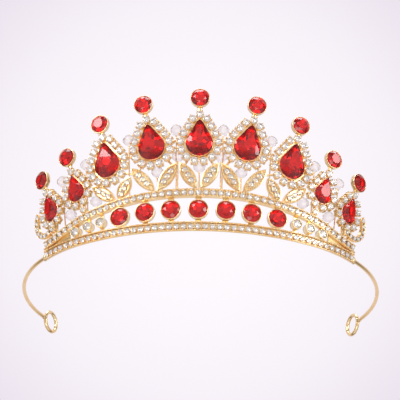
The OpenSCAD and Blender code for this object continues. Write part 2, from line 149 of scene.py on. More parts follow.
class Shape:
    """Collects vertices and faces, then becomes one object that stands for CAD nodes."""

    def __init__(self):
        self.v, self.f, self.m, self.s, self.n = [], [], [], [], 0

    def add(self, geo, mat=0, smooth=True, at=None, shift=None):
        v, f = geo
        v = np.asarray(v, float)
        if shift is not None:
            v = v + np.asarray(shift, float)
        if at is not None:
            v = v @ at[:3, :3].T + at[:3, 3]
        self.v.append(v)
        n = self.n
        self.f += [tuple(i + n for i in q) for q in f]
        self.m += list(mat) if isinstance(mat, (list, tuple)) else [mat] * len(f)
        self.s += [smooth] * len(f)
        self.n += len(v)

    def gem(self, cut, at):
        """A cut stone, made of its geometry and its material numbers."""
        self.add(cut[0], cut[1], False, at)

    def make(self, name, materials, node, slot):
        mesh = bpy.data.meshes.new(name)
        mesh.from_pydata((np.concatenate(self.v) * MM).tolist(), [], self.f)
        for m in materials:
            mesh.materials.append(m)
        mesh.polygons.foreach_set("material_index", self.m)
        mesh.polygons.foreach_set("use_smooth", self.s)
        b = bmesh.new()
        b.from_mesh(mesh)
        bmesh.ops.recalc_face_normals(b, faces=b.faces)
        b.to_mesh(mesh)
        b.free()
        o = bpy.data.objects.new(name, mesh)
        bpy.context.scene.collection.objects.link(o)
        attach(o, "root")
        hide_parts(node)
        return o


def loft(rings, closed=False):
    """Joins rings of points. A closed loft joins the last ring to the first."""
    m, n = len(rings), len(rings[0])
    v = np.concatenate([np.asarray(r, float) for r in rings])
    f = []
    for i in range(m if closed else m - 1):
        a, b = i * n, ((i + 1) % m) * n
        for j in range(n):
            k = (j + 1) % n
            f.append((a + j, a + k, b + k, b + j))
    if not closed:
        f.append(tuple(range(n - 1, -1, -1)))
        f.append(tuple(range((m - 1) * n, m * n)))
    return v, f


def around(n):
    """n equal steps of a full turn, in radians."""
    return [2 * math.pi * k / n for k in range(n)]


def revolve(profile, n, lobes=0, depth=0.0):
    """Turns a list of (r, z) about the axis. Lobes make a ribbed wall."""
    wall = 0.9 * max(p[0] for p in profile)
    rings = []
    for r, z in profile:
        ring = []
        for a in around(n):
            q = r
            if lobes and r > wall:
                q = r + depth * math.cos(lobes * a)
            ring.append((q * math.cos(a), q * math.sin(a), z))
        rings.append(ring)
    return loft(rings)


def tube(points, radius, n):
    """A round bar with blunt ends along points. radius is a number or one per point."""
    p = [np.asarray(q, float) for q in points]
    rad = list(radius) if isinstance(radius, (list, tuple)) else [radius] * len(p)
    a, b = p[0] - p[1], p[-1] - p[-2]
    a, b = a / np.linalg.norm(a), b / np.linalg.norm(b)
    p = [p[0] + a * rad[0] * END_REACH, *p, p[-1] + b * rad[-1] * END_REACH]
    rad = [rad[0] * END_TAPER, *rad, rad[-1] * END_TAPER]
    t0 = p[1] - p[0]
    t0 = t0 / np.linalg.norm(t0)
    up = np.array([0, 0, 1.0]) if abs(t0[2]) < 0.9 else np.array([1.0, 0, 0])
    u = np.cross(t0, up)
    u /= np.linalg.norm(u)
    rings = []
    for i, c in enumerate(p):
        t = p[min(i + 1, len(p) - 1)] - p[max(i - 1, 0)]
        t = t / np.linalg.norm(t)
        u = u - t * np.dot(u, t)
        u /= np.linalg.norm(u)
        w = np.cross(t, u)
        rings.append([c + rad[i] * (u * math.cos(a) + w * math.sin(a)) for a in around(n)])
    return loft(rings)


def unit_ball(segments, rows):
    turns = [math.pi * (i + 0.25) / (rows - 0.5) for i in range(rows)]
    return revolve([(math.sin(a), -math.cos(a)) for a in turns], segments)


BEAD = unit_ball(7, 4)


def bead(shape, at, r):
    v, f = BEAD
    shape.add((v * r + at, f))


ROUND_STAR = 0.8    # where the star facets of a round stone end, as a share of its radius


def cut_stone(outline, n, table, star, z, culet):
    """A brilliant cut on any outline. outline(t) gives (x, y) for t from 0 to 1.
    z is (table, girdle top, girdle bottom, culet). Returns geometry and material numbers:
    0 for the crown and 1 for the foiled back."""
    zt, zg, zb, zc = z

    def ring(count, offset, scale, height):
        return [(*(np.array(outline((k + offset) / count)) * scale), height)
                for k in range(count)]
    zs = zt + (zg - zt) * (star * math.cos(math.pi / n) - table) / (1 - table)
    v = ring(n, 0, table, zt) + ring(n, 0.5, star, zs) + ring(2 * n, 0, 1, zg)
    v += ring(2 * n, 0, 1, zb) + ring(n, 0.5, culet, zc)
    T, S, G, B, C = 0, n, 2 * n, 4 * n, 6 * n
    f, m = [tuple(range(T, T + n))], [0]
    for k in range(n):
        k1, p = (k + 1) % n, (k - 1) % n
        g, g1, g2 = 2 * k, 2 * k + 1, (2 * k + 2) % (2 * n)
        f += [(T + k, S + k, T + k1), (T + k, S + p, G + g, S + k),
              (S + k, G + g, G + g1), (S + k, G + g1, G + g2),
              (G + g, B + g, B + g1, G + g1), (G + g1, B + g1, B + g2, G + g2),
              (B + g, C + p, C + k), (B + g, C + k, B + g1), (B + g1, C + k, B + g2)]
        m += [0, 0, 0, 0, 1, 1, 1, 1, 1]
    f.append(tuple(range(C + n - 1, C - 1, -1)))
    m.append(1)
    return (np.array(v), f), m


def round_cut(d, crown, back, n=8, table=0.56, girdle=0.1, culet=0.18):
    """Round brilliant with its girdle's lower edge at z = 0."""
    r = d / 2
    return cut_stone(lambda t: (r * math.cos(2 * math.pi * t), r * math.sin(2 * math.pi * t)),
                     n, table, ROUND_STAR, (girdle + crown, girdle, 0, -back), culet)


# ---------------------------------------------------------------- materials
CAST_PATCHES, POLISH_MARKS, FOIL_PATCHES, BUMP_DEPTH = 160, 900, 500, 0.0001


def new_material(name):
    m = bpy.data.materials.new(name)
    m.use_nodes = True
    n = m.node_tree.nodes
    return m, n, m.node_tree.links, n["Principled BSDF"]


def noise(n, l, vector, scale, detail=2):
    node = n.new("ShaderNodeTexNoise")
    node.inputs["Scale"].default_value = scale
    node.inputs["Detail"].default_value = detail
    l.new(vector, node.inputs["Vector"])
    return node.outputs["Fac"]


def two_tones(n, l, b, amount, dark, light, edge):
    """Blends two base colours. edge is where the dark tone ends, from 0 to 0.5."""
    ramp = n.new("ShaderNodeValToRGB")
    ramp.color_ramp.elements[0].position = edge
    ramp.color_ramp.elements[0].color = (*dark, 1)
    ramp.color_ramp.elements[1].position = 1 - edge
    ramp.color_ramp.elements[1].color = (*light, 1)
    l.new(amount, ramp.inputs["Fac"])
    l.new(ramp.outputs["Color"], b.inputs["Base Color"])


def vary_roughness(n, l, b, amount, low, high):
    span = n.new("ShaderNodeMapRange")
    span.inputs["To Min"].default_value = low
    span.inputs["To Max"].default_value = high
    l.new(amount, span.inputs["Value"])
    l.new(span.outputs["Result"], b.inputs["Roughness"])


def gold(name, light, dark, rough, grain, bump, streak=(1, 1, 1)):
    """Plated metal: slow tone changes, a rougher cast skin and a fine bump."""
    m, n, l, b = new_material(name)
    b.inputs["Metallic"].default_value = 1.0
    place = n.new("ShaderNodeTexCoord").outputs["Object"]
    stretch = n.new("ShaderNodeMapping")
    stretch.inputs["Scale"].default_value = streak
    l.new(place, stretch.inputs["Vector"])
    fine = noise(n, l, stretch.outputs["Vector"], grain, 3)
    two_tones(n, l, b, noise(n, l, place, CAST_PATCHES, 4), dark, light, 0.3)
    vary_roughness(n, l, b, fine, rough * 0.7, rough * 1.5)
    skin = n.new("ShaderNodeBump")
    skin.inputs["Strength"].default_value = bump
    skin.inputs["Distance"].default_value = BUMP_DEPTH
    l.new(fine, skin.inputs["Height"])
    l.new(skin.outputs["Normal"], b.inputs["Normal"])
    return m


def stone(name, colour, ior, rough=0.02, level=0.5, clarity=1.0):
    """Clear or coloured cut glass, with faint polish marks."""
    m, n, l, b = new_material(name)
    b.inputs["Base Color"].default_value = (*colour, 1)
    b.inputs["Transmission Weight"].default_value = clarity
    b.inputs["IOR"].default_value = ior
    b.inputs["Specular IOR Level"].default_value = level
    marks = noise(n, l, n.new("ShaderNodeTexCoord").outputs["Object"], POLISH_MARKS)
    vary_roughness(n, l, b, marks, rough * 0.3, rough * 1.7)
    return m


def foil(name, light, dark, rough, metal):
    """The mirrored back of a stone, a little uneven."""
    m, n, l, b = new_material(name)
    b.inputs["Metallic"].default_value = metal
    b.inputs["Roughness"].default_value = rough
    place = n.new("ShaderNodeTexCoord").outputs["Object"]
    two_tones(n, l, b, noise(n, l, place, FOIL_PATCHES), dark, light, 0.35)
    return m


CAST = gold("gold_cast", (1.0, 0.8, 0.49), (0.94, 0.64, 0.31), 0.2, 2600, 0.2)
BRIGHT = gold("gold_bright", (1.0, 0.82, 0.51), (0.96, 0.69, 0.35), 0.14, 1400, 0.06)
BRUSHED = gold("gold_brushed", (0.98, 0.77, 0.46), (0.88, 0.6, 0.28), 0.26, 1500, 0.3,
               (0.15, 0.15, 3.0))
WIRE = gold("gold_wire", (1.0, 0.79, 0.47), (0.95, 0.68, 0.35), 0.22, 900, 0.02)
RED = stone("red_glass", (0.93, 0.006, 0.01), 1.6, 0.02, 0.22)
RED_FOIL = foil("red_foil", (1.0, 0.5, 0.4), (0.85, 0.15, 0.11), 0.05, 0.8)
CLEAR = stone("clear_glass", (1.0, 0.975, 0.965), 1.56, 0.02, 0.5, 0.8)
CLEAR_FOIL = foil("clear_foil", (1.0, 0.985, 0.97), (0.97, 0.9, 0.85), 0.08, 0.88)
CRYSTAL = stone("bead_glass", (1.0, 0.965, 0.925), 1.22, 0.2, 0.3)

# ---------------------------------------------------------------- rails
RAIL_REACH, RIM_REACH, RIM_STEP, RIM_BEAD = 69.0, 68.6, 0.56, 0.27
UNDERSIDE_LIFT = 0.82   # rise of the lower rail's underside from front to back
STATIONS = [angle_at(s) for s in np.linspace(-RAIL_REACH, RAIL_REACH, 139)]
STATIONS = [max(-RAIL_END, min(RAIL_END, a)) for a in STATIONS]
STONE_ANGLES = [angle_at(i * RAIL_PITCH) for i in range(-RAIL_COUNT, RAIL_COUNT + 1)]
GAP_ANGLES = [angle_at((i + 0.5) * RAIL_PITCH) for i in range(-RAIL_COUNT, RAIL_COUNT)]


def rail_profile(height, low):
    """Section of a rail: (out, up). Two ridges with a deep channel between them.
    low lifts the back edge of the underside."""
    b, f, h = -RAIL_T / 2, RAIL_T / 2, height
    return [(b, low + 0.22), (b + 0.2, low), (f - 0.35, 0.0), (f - 0.2, 0.0),
            (f - 0.02, 0.16), (f, 0.4), (f - 0.16, 0.6), (f - 0.75, 0.68),
            (f - 0.75, h - 0.68), (f - 0.16, h - 0.6), (f, h - 0.4), (f - 0.02, h - 0.16),
            (f - 0.2, h), (b + 0.2, h), (b, h - 0.22)]


def rail(name, node, height, low, point):
    """point(phi, out, up) places the section."""
    s = Shape()
    profile = rail_profile(height, low)
    s.add(loft([[point(a, n, w) for n, w in profile] for a in STATIONS]), smooth=False)
    for arc in np.arange(-RIM_REACH, RIM_REACH + 0.1, RIM_STEP):
        a = angle_at(arc)
        for w in (0.36, height - 0.36):
            bead(s, point(a, RAIL_T / 2 + 0.02, w), RIM_BEAD)
    # two small prongs stand in each gap between stones
    for a in GAP_ANGLES:
        for w in (height / 2 - 0.85, height / 2 + 0.85):
            s.add(tube([point(a, 0.3, w), point(a, 1.0, w)], 0.26, 6))
    return s.make(name, [CAST], node, "gold_plate")


def upper_point(phi, n, w):
    """The upper rail's section stands square to the leaning face."""
    return face_point(phi, upper_at(phi) - UPPER_H / 2 + w, n)


rail("lower_rail_cast", "lower_rail", LOWER_H, UNDERSIDE_LIFT, lower_point)
rail("upper_rail_cast", "upper_rail", UPPER_H, 0.0, upper_point)

small_cut = round_cut(RAIL_STONE - 0.06, 0.5, 0.55)
LOWER_STONES_AT = 2.02


def rail_stones(name, node, height_at):
    """height_at(phi) gives the height of a stone. Each is turned a little from the last."""
    s = Shape()
    for i, a in enumerate(STONE_ANGLES):
        s.gem(small_cut, frame_at(a, height_at(a), 1.0, 17 * i))
    return s.make(name, [CLEAR, CLEAR_FOIL], node, "clear_glass")


rail_stones("lower_rail_crystals", "lower_rail_stones", lambda a: LOWER_STONES_AT)
rail_stones("upper_rail_crystals", "upper_rail_stones", upper_at)

# a plain web fills the corner where the rails meet
WEB_FROM, WEB_TO, WEB_STEPS = 36.5, 49.7, 12
for side, word in SIDES:
    s = Shape()
    rings = []
    for i in range(WEB_STEPS + 1):
        a = WEB_FROM + i * (WEB_TO - WEB_FROM) / WEB_STEPS
        low = LOWER_H / cos(FLARE) + 0.05
        high = upper_at(a) - UPPER_H / 2 - 0.02
        sag = 0.12 * math.sin(math.pi * i / WEB_STEPS)
        rings.append([face_point(side * a, h, n) for h, n in
                      ((low, -0.85), (low, -0.15), ((low + high) / 2, -0.1 - sag),
                       (high, -0.15), (high, -0.85))])
    s.add(loft(rings), smooth=False)
    s.make(word + "_corner_web", [BRUSHED], word + "_end_plate", "gold_plate")

# ---------------------------------------------------------------- headband wires
WIRE_SIDES, WIRE_STEPS, LOOP_STEPS = 14, 60, 48

for side, word in SIDES:
    s = Shape()
    turn = WIRE_END - RAIL_END
    wx = SIDE_X + (SIDE_R - WIRE_R) * sin(RAIL_END)
    wy = SIDE_Y - (SIDE_R - WIRE_R) * cos(RAIL_END)
    path = []
    for i in range(WIRE_STEPS + 1):
        a = RAIL_END + turn * i / WIRE_STEPS
        path.append((side * (wx + WIRE_R * sin(a)), wy - WIRE_R * cos(a),
                     WIRE_START_H + (LOOP_OUTER / 2 - WIRE_START_H) * i / WIRE_STEPS))
    s.add(tube(path, WIRE_D / 2 - WIRE_INSET, WIRE_SIDES))
    lr = (LOOP_OUTER - WIRE_D) / 2
    tx, ty = cos(WIRE_END), sin(WIRE_END)
    c = np.array([wx + WIRE_R * sin(WIRE_END) + lr * tx,
                  wy - WIRE_R * cos(WIRE_END) + lr * ty, LOOP_OUTER / 2])
    rings = []
    for a in around(LOOP_STEPS):
        d = np.array([tx * math.cos(a), ty * math.cos(a), math.sin(a)])
        w = np.array([ty, -tx, 0])
        ring = [c + d * (lr + WIRE_D / 2 * math.cos(b)) + w * WIRE_D / 2 * math.sin(b)
                for b in around(WIRE_SIDES)]
        rings.append([(side * q[0], q[1], q[2]) for q in ring])
    s.add(loft(rings, closed=True))
    # the loop is closed by a small blob of solder on the wire
    e = np.array(path[-1])
    t = np.array([side * tx, ty, 0])
    s.add(tube([e - t * 2.2, e - t * 1.2, e - t * 0.2, e + t * 0.3],
               [WIRE_D * 0.52, WIRE_D * 0.64, WIRE_D * 0.66, WIRE_D * 0.5], 12))
    s.make(word + "_wire_and_loop", [WIRE], word + "_headband_wire", "gold_plate")

    # solder tab that holds the wire to the rail
    s = Shape()
    m = frame_at(side * (RAIL_END + 0.95), WIRE_START_H, -0.1)
    rings = []
    for x, k in ((-0.9, 0.8), (-0.7, 0.95), (0.0, 1.0), (0.6, 0.86), (0.9, 0.62)):
        rings.append([(side * x, 1.55 * k * math.sin(b) * (1.12 if abs(math.cos(b)) < 0.7 else 1),
                       0.9 * k * math.cos(b)) for b in around(16)])
    s.add(loft(rings), at=m)
    s.make(word + "_solder_tab", [WIRE], word + "_wire_tab", "gold_plate")

# ---------------------------------------------------------------- between the rails
def rail_bar(s, phi, width):
    """A short bar between the rails, behind a bezel."""
    low, high = LOWER_H / cos(FLARE) + 0.03, upper_at(phi) - UPPER_H / 2 - 0.03
    m = frame_at(phi, low, -0.95)
    w, c = width / 2, 0.12
    section = [(-w, 0), (w, 0), (w, 0.6 - c), (w - c, 0.6), (-w + c, 0.6), (-w, 0.6 - c)]
    s.add(loft([[(x, y, z) for x, z in section] for y in (0, high - low)]), smooth=False, at=m)


s = Shape()
bezel = revolve([(0.01, 0.0), (3.9, 0.0), (4.08, 0.2), (4.08, 1.6), (4.04, 1.84), (3.93, 1.97),
                 (3.78, 1.95), (3.66, 1.8), (3.62, 1.5), (3.58, 0.7), (0.01, 0.55)], 44)
for i in range(-3, 4):
    phi = sgn(i) * RED_ANGLE[abs(i)]
    s.add(bezel, at=frame_at(phi, RED_HEIGHT[abs(i)], -0.5))
    rail_bar(s, phi, 2.4)
s.make("gallery_cups", [BRIGHT], "gallery_bezels", "gold_plate")

s = Shape()
round_red = round_cut(7.14, 1.05, 0.75, table=0.55, girdle=0.15, culet=0.35)
for i in range(-3, 4):
    phi = sgn(i) * RED_ANGLE[abs(i)]
    s.gem(round_red, frame_at(phi, RED_HEIGHT[abs(i)], 0.98, 11 + 29 * i))
s.make("gallery_gems", [RED, RED_FOIL], "gallery_red_stones", "red_glass")

s = Shape()
cup = revolve([(0.01, 0.0), (1.86, 0.0), (2.08, 0.3), (2.11, 2.75), (2.13, 3.0), (2.02, 3.2),
               (1.86, 3.2), (1.75, 3.0), (1.72, 2.5), (1.7, 1.7), (0.01, 1.5)], 64, 16, 0.05)
for side in (-1, 1):
    for i in range(3):
        s.add(cup, at=frame_at(side * CLEAR_ANGLE[i], CLEAR_HEIGHT[i], -1.4))
        rail_bar(s, side * CLEAR_ANGLE[i], 1.8)
s.make("side_cups", [BRIGHT], "side_bezels", "gold_plate")

s = Shape()
side_cut = round_cut(3.38, 0.6, 0.85)
for side in (-1, 1):
    for i in range(3):
        s.gem(side_cut, frame_at(side * CLEAR_ANGLE[i], CLEAR_HEIGHT[i], 1.45, 13 * i))
s.make("side_crystals", [CLEAR, CLEAR_FOIL], "side_clear_stones", "clear_glass")

# ---------------------------------------------------------------- leaves
def leaf_outline(length, width, count=15):
    """Points of a leaf with pointed ends, both sides."""
    r = (length ** 2 + width ** 2) / (4 * width)
    half = math.asin(length / 2 / r)
    right = [(r * math.cos(a) - (r - width / 2), r * math.sin(a))
             for a in np.linspace(-half, half, count)]
    return right + [(-x, y) for x, y in reversed(right[1:-1])]


leaf_frames, leaf_gems = Shape(), Shape()
leaf_cut = round_cut(2.46, 0.52, 0.45)
LEAF_RIM_STEP, LEAF_RIM_BEAD = 0.52, 0.25
for side in (-1, 1):
    for i in range(5):
        (a0, h0), (a1, h1) = LEAF_FOOT[i], LEAF_TIP[i]
        mid, mh = (a0 + a1) / 2, (h0 + h1) / 2
        along = math.radians(a1 - a0) * (FRONT_R + mh * sin(FLARE))
        length = math.hypot(along, h1 - h0)
        turn = math.degrees(math.atan2(along, h1 - h0))
        m = frame_at(side * mid, mh, LEAF_BACK, side * turn)
        rings = []
        for dl, dw, z in ((0.5, 0.24, 0), (0, 0, 0.2), (0, 0, 1.35), (0.3, 0.16, 1.54),
                          (1.0, 0.5, 1.6), (1.5, 0.8, 1.5), (1.9, 1.0, 1.1)):
            rings.append([(x, y, z) for x, y in leaf_outline(length - dl, LEAF_W - dw)])
        leaf_frames.add(loft(rings), smooth=False, at=m)
        # a fine beaded line follows the inside of the rim
        edge = leaf_outline(length - 2.3, LEAF_W - 1.15, 60)
        left = 0.0
        for p, q in zip(edge, edge[1:] + edge[:1]):
            left -= math.dist(p, q)
            if left <= 0:
                left += LEAF_RIM_STEP
                bead(leaf_frames, placed(m, p[0], p[1], 1.34), LEAF_RIM_BEAD)
        for k in (-1, 0, 1):
            leaf_gems.gem(leaf_cut, shifted(m, 0, k * LEAF_STEP, 1.45))
        for y in (-2 * LEAF_STEP + 1.2, -0.5 * LEAF_STEP, 0.5 * LEAF_STEP, 2 * LEAF_STEP - 1.2):
            for x in (-0.62, 0.62):
                leaf_frames.add(tube([(x, y, 0.9), (x, y, 1.62)], 0.25, 6), at=m)
leaf_frames.make("leaf_castings", [CAST], "leaf_frames", "gold_plate")
leaf_gems.make("leaf_crystals", [CLEAR, CLEAR_FOIL], "leaf_stones", "clear_glass")

# ---------------------------------------------------------------- scrolls
scroll_gems = Shape()
scroll_cut = round_cut(1.85, 0.42, 0.45)
for side, word in SIDES:
    s = Shape()
    m = frame_at(side * SCROLL["angle"], SCROLL["height"], -0.3)
    radius = SCROLL["radius"]

    def put(a, r, z):
        """A point of the scroll, which opens towards the middle of the crown."""
        return placed(m, side * (SCROLL["shift"] - r * cos(a)), r * sin(a), z)

    profile = [(-1.05, 0), (1.05, 0), (1.2, 0.2), (1.2, 1.3), (1.02, 1.5), (0.8, 1.4),
               (0.75, 0.9), (-0.75, 0.9), (-0.8, 1.4), (-1.02, 1.5), (-1.2, 1.3), (-1.2, 0.2)]
    angles = [SCROLL["start"] + SCROLL["turn"] * i / 40 for i in range(41)]
    s.add(loft([[put(a, radius + x, z) for x, z in profile] for a in angles]), smooth=False)
    for edge in (-0.98, 0.98):
        step = math.degrees(0.5 / (radius + edge))
        for a in np.arange(SCROLL["start"] + 1.5, SCROLL["start"] + SCROLL["turn"] - 1, step):
            bead(s, put(a, radius + edge, 1.42), 0.23)
    for k in range(SCROLL["stones"]):
        a = SCROLL["start"] + 10 + k * SCROLL["pitch"]
        gem_at = m.copy()
        gem_at[:3, 3] = put(a, radius, 1.35)
        scroll_gems.gem(scroll_cut, gem_at)
    # two small prongs stand in each gap between stones
    for k in range(SCROLL["stones"] - 1):
        a = SCROLL["start"] + 10 + k * SCROLL["pitch"] + 11.4
        for e in (-0.45, 0.45):
            s.add(tube([put(a, radius + e, 0.8), put(a, radius + e, 1.5)], 0.22, 6))
    s.make(word + "_scroll_cast", [CAST], word + "_scroll", "gold_plate")
scroll_gems.make("scroll_crystals", [CLEAR, CLEAR_FOIL], "scroll_stones", "clear_glass")


# ---------------------------------------------------------------- drops
LARGE = dict(width=10.8, height=15.6, gap=2.3, count=15, stone=3.0, facets=12)
SMALL = dict(width=7.8, height=12.0, gap=1.85, count=11, stone=2.8, facets=10)
FIRST_SMALL = 3     # number of the first small drop, counted from the middle one as 0


class Pear:
    """Outline of a drop: a large circle, a small circle and their tangents."""

    def __init__(self, size):
        self.gap, self.count, self.stone = size["gap"], size["count"], size["stone"]
        self.seat, self.facets = self.stone / 2 + 0.12, size["facets"]
        self.foot, self.tip = size["width"] / 2, 0.09 * size["width"]
        self.fy, self.ty = self.foot - size["height"] / 2, size["height"] / 2 - self.tip
        self.b = math.asin((self.foot - self.tip) / (self.ty - self.fy))
        self.line = (self.ty - self.fy) * math.cos(self.b)

    def half(self, gap):
        """Length of half the outline, gap outside the stone."""
        return ((self.tip + gap) * (math.pi / 2 - self.b) + self.line
                + (self.foot + gap) * (math.pi / 2 + self.b))

    def at(self, gap, t):
        """Point and outward direction at a fraction t of the way round, from the top."""
        half = self.half(gap)
        s = (t % 1.0) * 2 * half
        mirror = s > half
        s = min(s, 2 * half - s)
        tip, foot, b = self.tip + gap, self.foot + gap, self.b
        s1 = tip * (math.pi / 2 - b)
        s2 = s1 + self.line
        if s < s1:
            a = s / tip
            p = (tip * math.sin(a), self.ty + tip * math.cos(a), math.pi / 2 - a)
        elif s < s2:
            d = s - s1
            p = (tip * math.cos(b) + d * math.sin(b),
                 self.ty + tip * math.sin(b) - d * math.cos(b), b)
        else:
            a = math.pi / 2 - b + (s - s2) / foot
            p = (foot * math.sin(a), self.fy + foot * math.cos(a), math.pi / 2 - a)
        return (-p[0], p[1], math.pi - p[2]) if mirror else p

    def ring(self, gap, z, n=56):
        return [(*self.at(gap, k / n)[:2], z) for k in range(n)]


def backing_and_bezel(s, p, m):
    """A narrow ring behind the pear stone and a thin bezel round it."""
    e = p.gap - p.seat + 0.6
    s.add(loft([p.ring(-0.3, -1.2), p.ring(e - 0.1, -1.2), p.ring(e, -1.08), p.ring(e, -0.7),
                p.ring(e - 0.1, -0.6), p.ring(-0.25, -0.6)], closed=True), smooth=False, at=m)
    s.add(loft([p.ring(0.0, -0.8), p.ring(0.3, -0.8), p.ring(0.27, 0.3), p.ring(0.22, 0.42),
                p.ring(0.12, 0.47), p.ring(0.02, 0.44), p.ring(-0.02, 0.34)], closed=True), at=m)


def claw(p, x, y, way):
    """A claw on the seat at (x, y), which bends in over the stone."""
    c, f = math.cos(way), math.sin(way)
    r = p.stone / 2 + 0.3
    path = [(x + (r - inward) * c, y + (r - inward) * f, z) for inward, z in
            ((0.06, -1.05), (0, -0.2), (0, 0.8), (0.16, 1.08), (0.42, 1.24))]
    return tube(path, [0.32, 0.28, 0.28, 0.28, 0.2], 7)


def seats_and_claws(s, p, m):
    """A round seat with two claws for each stone of the ring."""
    seat = revolve([(0.01, -1.2), (p.seat - 0.15, -1.2), (p.seat, -1.05), (p.seat, 0.42),
                    (p.seat - 0.05, 0.6), (p.seat - 0.18, 0.66), (p.seat - 0.3, 0.5),
                    (0.3, -0.3)], 20)
    for k in range(p.count):
        x, y, d = p.at(p.gap, k / p.count)
        s.add(seat, at=m, shift=(x, y, 0))
        for spread in (-CLAW_SPREAD, CLAW_SPREAD):
            s.add(claw(p, x, y, d + math.radians(spread)), at=m)


def neck_and_cup(s, p, m, top):
    """The neck above a drop and the cup for the stone at its top."""
    y0, y1 = p.ty + p.tip + p.gap + 1.2, top - 3.7
    rings = []
    for t, w, th in ((0, 1.15, 0.66), (0.3, 0.94, 0.6), (0.65, 0.9, 0.58), (1, 1.2, 0.62)):
        y = y0 + (y1 - y0) * t
        rings.append([(w * math.cos(b), y, -0.45 + th * math.sin(b)) for b in around(12)])
    s.add(loft(rings), at=m)
    s.add(revolve([(0.01, -1.2), (3.6, -1.2), (3.84, -0.95), (3.93, 0.5), (3.91, 0.72),
                   (3.82, 0.84), (3.72, 0.84), (3.64, 0.74), (3.6, 0.5), (3.5, -0.2),
                   (0.01, -0.3)], 44), at=m, shift=(0, top, 0))


def ring_gems(p, m):
    """The ring of clear stones, each turned to face away from the pear stone."""
    gems = Shape()
    cut = round_cut(p.stone - 0.02, 0.74, 0.7, table=0.52)
    for k in range(p.count):
        x, y, d = p.at(p.gap, k / p.count)
        turned = np.array([[math.cos(d), -math.sin(d), 0, x], [math.sin(d), math.cos(d), 0, y],
                           [0, 0, 1, 0.7], [0, 0, 0, 1]])
        gems.gem(cut, m @ turned)
    return gems


def pear_gem(p, m):
    gem = Shape()
    gem.gem(cut_stone(lambda t: p.at(0.1, -t)[:2], p.facets, 0.57, 0.82,
                      (2.08, 0.74, 0.5, -0.7), 0.3), m)
    return gem


def top_gem(m, top):
    gem = Shape()
    gem.gem(TOP_CUT, shifted(m, 0, top, 0.5))
    return gem


def drop(side, i, word):
    """One drop: casting, pear stone, ring of stones and the stone on top."""
    p = Pear(SMALL if i >= FIRST_SMALL else LARGE)
    m = frame_at(side * DROP_ANGLE[i], DROP_HEIGHT[i], 0, side * DROP_LEAN[i])
    tag = "centre" if i == 0 else f"{word}_{i}"
    frame_node = "centre_drop_frame" if i == 0 else f"{word}_drop_{i}_frame"

    def node(kind):
        return f"centre_{kind}" if i == 0 else f"{word}_{kind}_{i}"

    s = Shape()
    backing_and_bezel(s, p, m)
    seats_and_claws(s, p, m)
    neck_and_cup(s, p, m, FINIAL_AT[i])
    s.make("setting_" + tag, [CAST], frame_node, "gold_plate")
    ring_gems(p, m).make("ring_crystals_" + tag, [CLEAR, CLEAR_FOIL], node("halo_stones"),
                         "clear_glass")
    pear_gem(p, m).make("pear_gem_" + tag, [RED, RED_FOIL], node("pear_stone"), "red_glass")
    top_gem(m, FINIAL_AT[i]).make("top_gem_" + tag, [RED, RED_FOIL], node("finial_stone"),
                                  "red_glass")


CLAW_SPREAD = 35
TOP_CUT = round_cut(7.3, 1.4, 0.75, n=9, table=0.55, girdle=0.2, culet=0.4)
drop(1, 0, "centre")
for side, word in SIDES:
    for i in range(1, 5):
        drop(side, i, word)

# ---------------------------------------------------------------- joining bars
s = Shape()
BARS_BACK = -1.7


def bar(p, q, r=0.5):
    """A bar with a slightly thinner middle, between two points given as (angle, height)."""
    a, b = face_point(*p, BARS_BACK), face_point(*q, BARS_BACK)
    s.add(tube([a, a + (b - a) * 0.5, b], [r, r * 0.86, r], 10))


for side in (-1, 1):
    for a, b, c, d in ((4.1, 27.2, 2.6, 31.4), (5.7, 27.2, 7.7, 31.8), (15, 26.8, 13.6, 31),
                       (16.3, 26.8, 18.8, 27.8), (25.3, 21.8, 24.5, 26), (4.7, 36.2, 6.8, 36.6),
                       (4.7, 39.4, 6.9, 39.6), (15.8, 35, 17.8, 33.6), (27, 29.6, 28.6, 26.8),
                       (37.2, 22.4, 40, 21.4)):
        bar((side * a, b), (side * c, d))
    for a, b, h in ((29.8, 29.9, 18.6), (45.2, 44.6, 15)):
        bar((side * a, upper_at(a)), (side * b, h), 0.6)
    a, b = face_point(side * 47, 7, BARS_BACK), face_point(side * 47.6, 10.5, -0.85)
    s.add(tube([a, (a + b) / 2, b], [0.5, 0.44, 0.5], 10))
    for a, h in POSTS:
        s.add(revolve([(0.01, -1.2), (1.3, -1.2), (1.48, -1.0), (1.5, 0.45), (1.38, 0.6),
                       (1.24, 0.5), (1.2, -0.2), (0.01, -0.3)], 24), at=frame_at(side * a, h))
s.make("joining_bars", [CAST], "link_bars", "gold_plate")

s = Shape()
post_cut = round_cut(2.38, 0.5, 0.6)
for side in (-1, 1):
    for a, h in POSTS:
        s.gem(post_cut, frame_at(side * a, h, 0.5))
s.make("post_crystals", [CLEAR, CLEAR_FOIL], "small_post_stones", "clear_glass")

